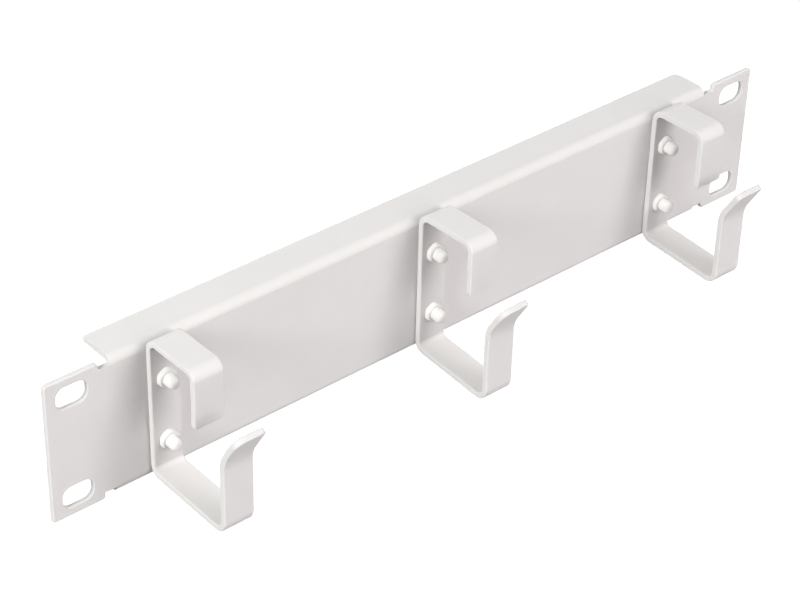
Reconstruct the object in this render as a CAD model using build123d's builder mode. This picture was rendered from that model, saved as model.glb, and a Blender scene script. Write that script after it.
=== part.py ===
from build123d import *
import math
import os

# Rack cable management panel, one unit high, for a 10 inch rack.
# A folded sheet panel carries three hooks bent from flat strip. At each hook two
# screws come through the panel from behind and take a hex nut inside the hook.
#
# Frame: millimetres. The origin is the middle of the four rack slots, on the back
# of the ears. +X runs along the panel, +Y points back into the rack and +Z is up,
# so the hooks reach out along -Y.

# Rack fixing: slot rows in one rack unit, slots long enough to shift sideways
rack_unit = 44.45
slot_row_inset = 6.35
slot_spacing_x = 236.5
slot_width = 7.4
slot_travel = 2.6
slot_end_wall = 3.0
slot_root_wall = 3.15

# Folded panel. Its depth is from the face to the back edges of the flanges.
unit_gap = 0.8
panel_thickness = 1.5
panel_bend_radius = 1.0
panel_depth = 12.2
relief_width = 3.6
relief_depth = 2.1
relief_corner_radius = 0.7
ear_corner_radius = 1.0
flange_left_corner_radius = 0.5
flange_right_corner_radius = 2.2

# Hook strip, and the inner radii of its bends
hook_width = 9.4
hook_thickness = 1.8
hook_corner_radius = 0.8
tip_corner_radius = 2.9
arm_rear_bend_radius = 2.2
arm_front_bend_radius = 1.5
tray_rear_bend_radius = 1.6
tray_front_bend_radius = 2.4
flare_bend_radius = 9.0

# Hook shape, on the outside of the strip. The arm rises above the panel's top edge,
# the tray leaves the panel just above its bottom edge and sags towards the front.
# Depths are from the panel's face.
hook_inset = 16.35
arm_rise = 1.8
arm_lift = 0.5
arm_depth = 20.9
lip_length = 17.5
tray_lift = 0.35
tray_sag = 1.3
tray_depth = 31.0
upturn_height = 23.8
flare_length = 10.7
flare_angle = 31.0

# The hooks are bent and placed by hand, so each one differs a little from that shape
hook_sides = {"left": -1, "middle": 0, "right": 1}
hook_changes = {
    "left": {
        "place": -0.95, "arm_rise": 0.0, "arm_lift": -0.4, "arm_depth": -0.3, "lip_length": 0.1,
        "tray_lift": 0.8, "tray_sag": -0.7, "tray_depth": 1.1, "upturn_height": -0.2,
        "flare_length": 0.3, "tip_corner": 0.6,
    },
    "middle": {
        "place": -0.4, "arm_rise": 0.2, "arm_lift": 0.4, "arm_depth": 1.0, "lip_length": -0.5,
        "tray_lift": -0.5, "tray_sag": 0.6, "tray_depth": -1.0, "upturn_height": 0.0,
        "flare_length": -0.3, "tip_corner": 0.6,
    },
    "right": {
        "place": -0.95, "arm_rise": -0.2, "arm_lift": -0.1, "arm_depth": -0.7, "lip_length": 0.8,
        "tray_lift": -0.3, "tray_sag": 0.0, "tray_depth": -0.2, "upturn_height": 0.2,
        "flare_length": 0.3, "tip_corner": -1.1,
    },
}

# Fasteners, measured over their coating
screw_spacing = 20.0
screw_diameter = 4.0
screw_protrusion = 3.3
screw_end_height = 0.9
screw_hole_clearance = 0.2
head_diameter = 6.8
head_height = 2.2
head_rim_height = 0.9
nut_sides = 6
nut_width = 5.5
nut_height = 1.4
nut_chamfer_angle = 45.0
nut_thread_clearance = 0.05

os.makedirs("parts", exist_ok=True)

# Worked out from the sizes above
slot_spacing_z = rack_unit - 2 * slot_row_inset
slot_length = slot_width + slot_travel
panel_height = rack_unit - unit_gap
panel_length = slot_spacing_x + slot_length + 2 * slot_end_wall
ear_width = slot_end_wall + slot_length + slot_root_wall
flange_length = panel_length - 2 * (ear_width + relief_width)
panel_outer_radius = panel_bend_radius + panel_thickness
hole_radius = screw_diameter / 2 + screw_hole_clearance
screw_heights = {"upper": screw_spacing / 2, "lower": -screw_spacing / 2}
hook_places = {
    name: side * (flange_length / 2 - hook_inset) + hook_changes[name]["place"]
    for name, side in hook_sides.items()
}

# Panel: web and two flanges folded back, then the flat of the face out to both ears
with BuildPart() as panel:
    with BuildSketch(Plane.YZ):
        with BuildLine():
            FilletPolyline(
                (panel_depth - panel_thickness, panel_height / 2),
                (-panel_thickness, panel_height / 2),
                (-panel_thickness, -panel_height / 2),
                (panel_depth - panel_thickness, -panel_height / 2),
                radius=panel_outer_radius,
            )
            offset(amount=panel_thickness, side=Side.LEFT)
        make_face()
    extrude(amount=flange_length / 2, both=True)
    flange_corners = panel.edges().filter_by(Axis.Z).group_by(Axis.Y)[-1]
    fillet(flange_corners.group_by(Axis.X)[-1], radius=flange_right_corner_radius)
    flange_corners = panel.edges().filter_by(Axis.Z).group_by(Axis.Y)[-1]
    fillet(flange_corners.group_by(Axis.X)[0], radius=flange_left_corner_radius)

    # The reliefs beside the ears end a little inside the bends, with a small round
    with BuildSketch(Plane.XZ) as face_blank:
        Rectangle(flange_length, panel_height - 2 * panel_outer_radius)
        with GridLocations(panel_length - ear_width - relief_width, 0, 2, 1):
            Rectangle(ear_width + relief_width, panel_height - 2 * relief_depth)
        with GridLocations(panel_length - ear_width, 0, 2, 1):
            Rectangle(ear_width, panel_height)
        columns = face_blank.vertices().group_by(Axis.X)
        relief_corners = columns[1].sort_by(Axis.Y)[1:3] + columns[-2].sort_by(Axis.Y)[1:3]
        fillet(relief_corners, radius=relief_corner_radius)
        rows = face_blank.vertices().group_by(Axis.Y)
        fillet(rows[0] + rows[-1], radius=ear_corner_radius)
    extrude(amount=panel_thickness)

    with BuildSketch(Plane.XZ):
        with GridLocations(slot_spacing_x, slot_spacing_z, 2, 2):
            SlotCenterToCenter(slot_travel, slot_width)
        for place in hook_places.values():
            with Locations(*((place, height) for height in screw_heights.values())):
                Circle(hole_radius)
    extrude(amount=panel_thickness, mode=Mode.SUBTRACT)

panel.part.label = "panel"
export_step(panel.part, "parts/panel.step")


def corner_edges(strip):
    """The straight edges through the thickness of a hook's strip."""
    straight = strip.edges().filter_by(GeomType.LINE)
    return straight.filter_by(lambda edge: math.isclose(edge.length, hook_thickness, abs_tol=0.001))


# Hooks: one strip each, from the lip over the arm, down the panel, out along the
# tray and up to the flared tip
lean = math.radians(flare_angle)
for name, place in hook_places.items():
    change = hook_changes[name]
    arm_rear_z = panel_height / 2 + arm_rise + change["arm_rise"]
    arm_front_z = arm_rear_z + arm_lift + change["arm_lift"]
    lip_y = -panel_thickness - arm_depth - change["arm_depth"]
    lip_z = arm_front_z - lip_length - change["lip_length"]
    tray_rear_z = -panel_height / 2 + tray_lift + change["tray_lift"]
    tray_front_z = tray_rear_z - tray_sag - change["tray_sag"]
    upturn_y = -panel_thickness - tray_depth - change["tray_depth"]
    flare_z = tray_front_z + upturn_height + change["upturn_height"]
    flare_run = flare_length + change["flare_length"]

    with BuildPart() as hook:
        with BuildSketch(Plane.YZ.offset(place)):
            with BuildLine():
                FilletPolyline(
                    (lip_y, lip_z),
                    (lip_y, arm_front_z),
                    (-panel_thickness, arm_rear_z),
                    (-panel_thickness, tray_rear_z),
                    (upturn_y, tray_front_z),
                    (upturn_y, flare_z),
                    (upturn_y - flare_run * math.sin(lean), flare_z + flare_run * math.cos(lean)),
                    radius=(
                        arm_front_bend_radius + hook_thickness,
                        arm_rear_bend_radius + hook_thickness,
                        tray_rear_bend_radius + hook_thickness,
                        tray_front_bend_radius + hook_thickness,
                        flare_bend_radius,
                    ),
                )
                offset(amount=hook_thickness, side=Side.RIGHT)
            make_face()
        extrude(amount=hook_width / 2, both=True)

        # Three corners of the strip are nipped, and the left one at the tip is well rounded
        nipped = corner_edges(hook)
        nipped.remove(nipped.group_by(Axis.Y)[0].sort_by(Axis.X)[0])
        fillet(nipped, radius=hook_corner_radius)
        tip_left = corner_edges(hook).group_by(Axis.Y)[0].sort_by(Axis.X)[0]
        fillet(tip_left, radius=tip_corner_radius + change["tip_corner"])

        with BuildSketch(Plane.XZ.offset(panel_thickness)):
            with Locations(*((place, height) for height in screw_heights.values())):
                Circle(hole_radius)
        extrude(amount=hook_thickness, mode=Mode.SUBTRACT)

    hook.part.label = f"hook_{name}"
    export_step(hook.part, f"parts/hook_{name}.step")

# Screws and nuts. Each is turned about the screw's own axis, which points forward.
nut_seat = panel_thickness + hook_thickness
screw_reach = nut_seat + nut_height + screw_protrusion
nut_corner_radius = nut_width / 2 / math.cos(math.pi / nut_sides)
nut_chamfer_height = (nut_corner_radius - nut_width / 2) * math.tan(math.radians(nut_chamfer_angle))
for name, place in hook_places.items():
    for level, height in screw_heights.items():
        screw_axis = Axis((place, 0, height), (0, -1, 0))
        turning_plane = Plane(origin=(place, 0, height), x_dir=(1, 0, 0), z_dir=(0, 0, -1))

        # Pan head behind the panel, shank through both sheets and the nut, bevelled end
        with BuildPart() as screw:
            with BuildSketch(turning_plane):
                with BuildLine():
                    Polyline(
                        (0, -head_height),
                        (head_diameter / 2 - head_rim_height, -head_height),
                        (head_diameter / 2, head_rim_height - head_height),
                        (head_diameter / 2, 0),
                        (screw_diameter / 2, 0),
                        (screw_diameter / 2, screw_reach - screw_end_height),
                        (screw_diameter / 2 - screw_end_height, screw_reach),
                        (0, screw_reach),
                        close=True,
                    )
                make_face()
            revolve(axis=screw_axis)

        screw.part.label = f"screw_{name}_{level}"
        export_step(screw.part, f"parts/screw_{name}_{level}.step")

        # Hexagon with a corner up, cut to a turned blank that bevels its outer corners
        with BuildPart() as nut:
            with BuildSketch(Plane(origin=(place, -nut_seat, height), x_dir=(0, 0, 1), z_dir=(0, -1, 0))):
                RegularPolygon(radius=nut_corner_radius, side_count=nut_sides)
                Circle(screw_diameter / 2 + nut_thread_clearance, mode=Mode.SUBTRACT)
            extrude(amount=nut_height)
            with BuildSketch(turning_plane):
                with BuildLine():
                    Polyline(
                        (0, nut_seat),
                        (nut_corner_radius, nut_seat),
                        (nut_corner_radius, nut_seat + nut_height - nut_chamfer_height),
                        (nut_width / 2, nut_seat + nut_height),
                        (0, nut_seat + nut_height),
                        close=True,
                    )
                make_face()
            revolve(axis=screw_axis, mode=Mode.INTERSECT)

        nut.part.label = f"nut_{name}_{level}"
        export_step(nut.part, f"parts/nut_{name}_{level}.step")
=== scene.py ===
import math
import bmesh
import bpy
from mathutils import Matrix, Vector


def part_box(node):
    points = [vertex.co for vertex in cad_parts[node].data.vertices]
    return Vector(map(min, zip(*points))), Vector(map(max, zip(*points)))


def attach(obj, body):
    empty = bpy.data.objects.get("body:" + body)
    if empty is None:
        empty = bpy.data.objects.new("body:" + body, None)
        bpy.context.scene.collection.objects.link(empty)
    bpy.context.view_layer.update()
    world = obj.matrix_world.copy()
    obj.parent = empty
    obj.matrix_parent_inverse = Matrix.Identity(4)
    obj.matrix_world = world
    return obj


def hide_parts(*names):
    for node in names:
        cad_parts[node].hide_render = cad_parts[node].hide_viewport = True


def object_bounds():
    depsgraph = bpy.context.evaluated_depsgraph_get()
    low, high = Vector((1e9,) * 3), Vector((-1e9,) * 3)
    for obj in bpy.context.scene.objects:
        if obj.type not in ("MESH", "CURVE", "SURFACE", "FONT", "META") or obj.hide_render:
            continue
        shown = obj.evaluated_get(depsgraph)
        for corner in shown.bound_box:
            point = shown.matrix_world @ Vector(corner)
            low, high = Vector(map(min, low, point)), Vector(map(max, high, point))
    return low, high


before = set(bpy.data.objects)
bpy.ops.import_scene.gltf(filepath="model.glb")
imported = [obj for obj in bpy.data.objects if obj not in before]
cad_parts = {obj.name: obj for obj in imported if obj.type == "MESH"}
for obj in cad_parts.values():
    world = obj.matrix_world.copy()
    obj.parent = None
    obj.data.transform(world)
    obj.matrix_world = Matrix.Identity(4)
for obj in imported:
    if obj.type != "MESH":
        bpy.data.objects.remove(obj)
cad_low, cad_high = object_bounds()

# Panel: mild steel sheet, punched, folded back along its long edges and powder coated.
# The coat rounds the cut edges, makes the rack slots a little smaller and squarer, and
# lies in a fine orange peel.

MM = 0.001  # the scene is in metres


def linear(code):
    """sRGB hex colour as linear RGBA."""
    channels = [int(code[i:i + 2], 16) / 255 for i in (1, 3, 5)]
    return [
        c / 12.92 if c <= 0.04045 else ((c + 0.055) / 1.055) ** 2.4 for c in channels
    ] + [1.0]


def add_node(material, kind, settings=None, links=None):
    """Add one shader node, with its settings and what its inputs are linked from."""
    node = material.node_tree.nodes.new(kind)
    for name, value in (settings or {}).items():
        if name in node.inputs:
            node.inputs[name].default_value = value
        else:
            setattr(node, name, value)
    for name, source in (links or {}).items():
        material.node_tree.links.new(source, node.inputs[name])
    return node


def powder_coat(name, pale, shade):
    """Polyester powder coat, sprayed on dry and baked.

    It gives the eye a warm pale grey that is nearly matt, with a wide soft sheen along
    the bends, faint clouds in the colour and the fine grain of its orange peel.
    """
    cloud_size, peel_size, peel_depth = 14 * MM, 1.1 * MM, 0.12 * MM
    material = bpy.data.materials.new(name)
    material.use_nodes = True
    place = add_node(material, "ShaderNodeTexCoord").outputs["Object"]
    clouds = add_node(
        material, "ShaderNodeTexNoise",
        {"Scale": 1 / cloud_size, "Detail": 3.0, "Roughness": 0.55}, {"Vector": place})
    colour = add_node(
        material, "ShaderNodeMix",
        {"data_type": "RGBA", "A": linear(shade), "B": linear(pale)},
        {"Factor": clouds.outputs["Fac"]})
    peel = add_node(
        material, "ShaderNodeTexNoise",
        {"Scale": 1 / peel_size, "Detail": 2.0, "Roughness": 0.5}, {"Vector": place})
    bump = add_node(
        material, "ShaderNodeBump",
        {"Strength": 0.4, "Distance": peel_depth}, {"Height": peel.outputs["Fac"]})
    shader = material.node_tree.nodes["Principled BSDF"]
    shader.inputs["Diffuse Roughness"].default_value = 0.3
    shader.inputs["Roughness"].default_value = 0.6
    shader.inputs["IOR"].default_value = 1.4
    material.node_tree.links.new(colour.outputs["Result"], shader.inputs["Base Color"])
    material.node_tree.links.new(bump.outputs["Normal"], shader.inputs["Normal"])
    return material


def add_object(name, data):
    """Add an object with this mesh, light or camera to the scene."""
    added = bpy.data.objects.new(name, data)
    bpy.context.scene.collection.objects.link(added)
    return added


def even_shading(piece):
    """Keep flat faces flat to the eye, so that only the rounded edges catch the light."""
    shading = piece.modifiers.new("even shading", "WEIGHTED_NORMAL")
    shading.keep_sharp = True


def soften(node, rounding, rounded=lambda edge: True, built_up=None):
    """Copy a CAD node, join its loose triangles and round its edges under the coat.

    Faces that meet at more than 35 degrees form an edge.
    """
    edge_angle = math.radians(35)
    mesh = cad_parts[node].data.copy()
    piece = add_object(f"{node}_coated", mesh)
    form = bmesh.new()
    form.from_mesh(mesh)
    bmesh.ops.remove_doubles(form, verts=form.verts, dist=0.002 * MM)
    bmesh.ops.dissolve_limit(
        form, angle_limit=math.radians(0.5), verts=form.verts, edges=form.edges)
    if built_up:
        for vertex in form.verts:
            built_up(vertex)
    sharp = [
        edge for edge in form.edges
        if len(edge.link_faces) == 2 and edge.calc_face_angle() > edge_angle and rounded(edge)
    ]
    bmesh.ops.bevel(
        form, geom=sharp, offset=rounding, offset_type="OFFSET", segments=3, profile=0.5,
        affect="EDGES", material=-1)
    for face in form.faces:
        face.smooth = True
    for edge in form.edges:
        edge.smooth = len(edge.link_faces) == 2 and edge.calc_face_angle() < edge_angle
    form.to_mesh(mesh)
    form.free()
    even_shading(piece)
    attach(piece, "root")
    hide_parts(node)
    return piece


# The coat rounds the edges of the ears, from their ends to just past their roots, and
# those of the flanges behind the bends. The small corners inside the reliefs stay sharp.
panel_rounding = 0.45 * MM
ear_reach = 16.9 * MM
flange_start = 1.2 * MM


def on_ear_or_rim(edge):
    """Tell whether an edge is on an ear, with its slots, or on a flange behind the bend."""
    on_ear = min(abs(v.co.x) for v in edge.verts) > cad_high.x - ear_reach
    return on_ear or min(v.co.y for v in edge.verts) > flange_start


# Rack slots: their centres, the punched slot with a little room round it and the coated
# one. Lengths and widths are halves, measured from the centre.
slot_x, slot_z = 118.25 * MM, 15.875 * MM
punched_length, punched_width, punched_straight = 5.05 * MM, 3.75 * MM, 1.3 * MM
coated_length, coated_width, coated_corner = 4.65 * MM, 3.22 * MM, 2.6 * MM
coated_end_blend = 0.3 * MM


def narrow_slot(vertex):
    """Move a vertex of a rack slot's wall in to the coated slot."""
    centre_x = math.copysign(slot_x, vertex.co.x)
    centre_z = math.copysign(slot_z, vertex.co.z)
    x, z = vertex.co.x - centre_x, vertex.co.z - centre_z
    if abs(x) > punched_length or abs(z) > punched_width:
        return
    round_x = x - max(-punched_straight, min(punched_straight, x))
    radius = math.hypot(round_x, z)
    corner_x = math.copysign(coated_length - coated_corner, x)
    corner_z = math.copysign(coated_width - coated_corner, z)
    corner_z *= min(1.0, abs(z) / coated_end_blend)
    vertex.co.x = centre_x + corner_x + coated_corner * round_x / radius
    vertex.co.z = centre_z + corner_z + coated_corner * z / radius


panel_coat = powder_coat("powder coat on folded sheet", pale="#d2cdcd", shade="#cdc9c8")
panel = soften("panel", panel_rounding, on_ear_or_rim, narrow_slot)
panel.data.materials.clear()
panel.data.materials.append(panel_coat)

# Hooks: flat mild steel strip, each bent on a brake into one open loop, clamped by two
# screws and coated together with the panel. The coat rounds their cut edges too.
hook_sides = ("left", "middle", "right")
hook_rounding = 0.4 * MM
hook_coat = powder_coat("powder coat on bent strip", pale="#d2cdcd", shade="#cdc9c8")
for side in hook_sides:
    hook = soften(f"hook_{side}", hook_rounding)
    hook.data.materials.clear()
    hook.data.materials.append(hook_coat)

# Nuts: thin steel hexagon nuts, tightened before the coating. A thick skin of powder
# rounds their corners and fills the thread. Their coat is the sheet's powder, painted
# paler than on the sheet as painted light.
screw_levels = ("upper", "lower")
nut_corner_rounding = 1.0 * MM
nut_rim_rounding = 0.6 * MM
same_depth = 0.01 * MM
# Painted light: a paler copy of the sheet's powder coat, so the screws and nuts look brighter
# lit
fastener_coat_painted_paler = powder_coat("coat over screws and nuts, painted paler as light", pale="#e0dcdb", shade="#dcd8d6")


def coat_fastener(node, form):
    """Turn a finished bmesh into the coated piece that stands for a CAD node."""
    mesh = bpy.data.meshes.new(f"coated_{node}")
    form.to_mesh(mesh)
    form.free()
    mesh.materials.append(fastener_coat_painted_paler)
    piece = add_object(f"coated_{node}", mesh)
    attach(piece, "root")
    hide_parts(node)
    return piece


for side in hook_sides:
    for level in screw_levels:
        node = f"nut_{side}_{level}"
        low, high = (Vector(corner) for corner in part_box(node))
        radius = (high.z - low.z) / 2
        thickness = high.y - low.y

        # The hexagon comes with a corner on Y, which the quarter turn brings to the top
        form = bmesh.new()
        bmesh.ops.create_cone(
            form, cap_ends=True, segments=6, radius1=radius, radius2=radius,
            depth=thickness)
        bmesh.ops.rotate(
            form, verts=form.verts, cent=(0, 0, 0),
            matrix=Matrix.Rotation(math.radians(90), 3, "X"))
        corners = [
            edge for edge in form.edges
            if abs(edge.verts[0].co.y - edge.verts[1].co.y) > thickness / 2
        ]
        bmesh.ops.bevel(
            form, geom=corners, offset=nut_corner_rounding, offset_type="OFFSET",
            segments=4, profile=0.5, affect="EDGES", material=-1, clamp_overlap=True)
        front_rim = [edge for edge in form.edges if max(v.co.y for v in edge.verts) < 0]
        bmesh.ops.bevel(
            form, geom=front_rim, offset=nut_rim_rounding, offset_type="OFFSET",
            segments=5, profile=0.5, affect="EDGES", material=-1, clamp_overlap=True)

        # Only the rim that lies on the hook stays sharp
        seat = thickness / 2 - same_depth
        for face in form.faces:
            face.smooth = True
        for edge in form.edges:
            edge.smooth = min(v.co.y for v in edge.verts) < seat
        bmesh.ops.translate(form, verts=form.verts, vec=(low + high) / 2)
        even_shading(coat_fastener(node, form))

# Screws: turned steel, with a low head and a hexagon socket behind the panel, and ends
# that come well out of the nuts, where the powder builds up into a blunt round knob.
shank_radius = 1.9 * MM
knob_bevel, knob_rounding, knob_length = 0.85 * MM, 0.55 * MM, 2.0 * MM
head_bevel_height, head_bevel_width = 0.9 * MM, 1.3 * MM
socket_inset, socket_half_width, socket_depth = 0.35 * MM, 1.25 * MM, 1.2 * MM
sixth_turn = math.radians(60)
for side in hook_sides:
    for level in screw_levels:
        node = f"screw_{side}_{level}"
        low, high = (Vector(corner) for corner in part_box(node))
        nut_seat = Vector(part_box(f"nut_{side}_{level}")[1]).y
        head_radius = (high.x - low.x) / 2

        # Half outline from the end of the knob to the top of the head, turned about Y
        outline = [
            (0.0, low.y),
            (shank_radius - knob_bevel, low.y),
            (shank_radius, low.y + knob_bevel),
            (shank_radius, nut_seat),
            (shank_radius, 0.0),
            (head_radius, 0.0),
            (head_radius, high.y - head_bevel_height),
            (head_radius - head_bevel_width, high.y),
        ]
        form = bmesh.new()
        points = [form.verts.new((x, y, 0)) for x, y in outline]
        lines = [form.edges.new(pair) for pair in zip(points, points[1:])]
        bmesh.ops.spin(
            form, geom=points + lines, cent=(0, 0, 0), axis=(0, 1, 0), dvec=(0, 0, 0),
            angle=math.radians(360), steps=48, use_merge=True, use_duplicate=False)
        bmesh.ops.remove_doubles(form, verts=form.verts, dist=0.001 * MM)
        head_rim = [edge for edge in form.edges if edge.is_boundary]
        bmesh.ops.contextual_create(form, geom=head_rim)
        bmesh.ops.recalc_face_normals(form, faces=form.faces)

        # The powder rounds both rings of the knob's bevel
        knob_rings = [
            edge for edge in form.edges
            if len(edge.link_faces) == 2
            and edge.calc_face_angle() > math.radians(20)
            and abs(edge.verts[0].co.y - edge.verts[1].co.y) < same_depth
            and edge.verts[0].co.y < low.y + knob_length
        ]
        bmesh.ops.bevel(
            form, geom=knob_rings, offset=knob_rounding, offset_type="OFFSET", segments=5,
            profile=0.5, affect="EDGES", material=-1, clamp_overlap=True)

        # Socket: the middle of the head's top drawn in to a hexagon and sunk
        cap = max(
            form.faces,
            key=lambda face: (round(face.calc_center_median().y, 6), len(face.verts)))
        bmesh.ops.inset_individual(form, faces=[cap], thickness=socket_inset, depth=0)
        for vertex in cap.verts:
            turn = math.atan2(vertex.co.z, vertex.co.x)
            reach = socket_half_width / math.cos(turn % sixth_turn - sixth_turn / 2)
            vertex.co.x = reach * math.cos(turn)
            vertex.co.z = reach * math.sin(turn)
        sunk = bmesh.ops.extrude_face_region(form, geom=[cap])["geom"]
        bottom = [item for item in sunk if isinstance(item, bmesh.types.BMVert)]
        bmesh.ops.translate(form, verts=bottom, vec=(0, -socket_depth, 0))
        bmesh.ops.delete(form, geom=[cap], context="FACES_ONLY")
        bmesh.ops.recalc_face_normals(form, faces=form.faces)

        centre = Vector(((low.x + high.x) / 2, 0, (low.z + high.z) / 2))
        bmesh.ops.translate(form, verts=form.verts, vec=centre)
        for face in form.faces:
            face.smooth = True
        for edge in form.edges:
            edge.smooth = (
                len(edge.link_faces) < 2 or edge.calc_face_angle() < math.radians(40))
        coat_fastener(node, form)

# Studio: floor, walls and ceiling painted matt white and lit to pure white, as in the
# photograph. The floor lies low, where no shadow of the part reaches the picture, and
# the room sends no light of its own to the part. Sizes here are in metres.
room_size, floor_drop = 12.0, 1.5
room_form = bmesh.new()
bmesh.ops.create_cube(room_form, size=room_size)
bmesh.ops.reverse_faces(room_form, faces=room_form.faces)
bmesh.ops.translate(
    room_form, verts=room_form.verts, vec=(0, 0, cad_low.z + (room_size / 2 - floor_drop)))
room_mesh = bpy.data.meshes.new("studio room")
room_form.to_mesh(room_mesh)
room_form.free()
room = add_object("studio room", room_mesh)

# Matt wall paint with a glow of its own, which gives the eye plain white without shades
room_paint = bpy.data.materials.new("white studio paint")
room_paint.use_nodes = True
room_shader = room_paint.node_tree.nodes["Principled BSDF"]
room_shader.inputs["Base Color"].default_value = linear("#898989")
room_shader.inputs["Roughness"].default_value = 0.9
room_shader.inputs["Emission Color"].default_value = linear("#ffffff")
room_shader.inputs["Emission Strength"].default_value = 0.98
room.data.materials.append(room_paint)
room.visible_diffuse = False
room.visible_glossy = False
room.visible_shadow = False

# Light: a pale room, a strong softbox on the left, the key in front with weak ones
# above and below it, and one behind that hardly lights more than the back. Sizes are in
# metres and powers in watts.
softbox_distance = 1.4
faintly_green = (0.945, 1.0, 0.975)
world = bpy.data.worlds.new("studio")
world.use_nodes = True
background = world.node_tree.nodes["Background"]
background.inputs["Color"].default_value = linear("#ffffff")
background.inputs["Strength"].default_value = 0.34
bpy.context.scene.world = world


def soft_light(name, turn, height, size, power, colour=(1, 1, 1)):
    """Add a square softbox that faces the panel.

    It is turned to the right from straight ahead and raised, both in degrees.
    """
    data = bpy.data.lights.new(name, "AREA")
    data.shape = "SQUARE"
    data.size = size
    data.energy = power
    data.color = colour
    turn, height = math.radians(turn), math.radians(height)
    direction = Vector((
        math.sin(turn) * math.cos(height),
        -math.cos(turn) * math.cos(height),
        math.sin(height),
    ))
    lamp = add_object(name, data)
    lamp.location = direction * softbox_distance
    lamp.rotation_euler = direction.to_track_quat("Z", "Y").to_euler()


soft_light("left softbox", turn=-82, height=32, size=0.4, power=19.8, colour=faintly_green)
soft_light("key softbox", turn=14, height=19, size=0.7, power=13.4)
soft_light("high softbox", turn=45, height=60, size=0.6, power=2.4)
soft_light("low softbox", turn=0, height=-30, size=1.2, power=2.8)
soft_light("rear softbox", turn=160, height=8, size=0.8, power=6.0)
bpy.context.scene.view_settings.view_transform = "Standard"

# Camera: in front of the panel, to its left and above it. The angles, the distance, the
# point aimed at and the focal length, which is in pixels of a picture 800 wide, are
# fitted to the four slots and the panel's outline in the photograph.
azimuth, elevation, roll = math.radians(41.128), math.radians(35.346), math.radians(1.481)
distance = 681.9 * MM
aim = Vector((-10.98, -1.5, -2.966)) * MM
aim_rise = 0.28 * MM
focal_length, picture_width = 2472.942, 800
forward = Vector((
    math.sin(azimuth) * math.cos(elevation),
    math.cos(azimuth) * math.cos(elevation),
    -math.sin(elevation),
))
right = Vector((math.cos(azimuth), -math.sin(azimuth), 0))
up = right.cross(forward)
camera_right = right * math.cos(roll) + up * math.sin(roll)
camera_up = up * math.cos(roll) - right * math.sin(roll)
pose = Matrix((camera_right, camera_up, -forward)).transposed().to_4x4()
pose.translation = aim + camera_up * aim_rise - forward * distance
lens = bpy.data.cameras.new("camera")
lens.sensor_width = 36.0
lens.lens = focal_length / picture_width * lens.sensor_width
camera = add_object("camera", lens)
camera.matrix_world = pose
bpy.context.scene.camera = camera
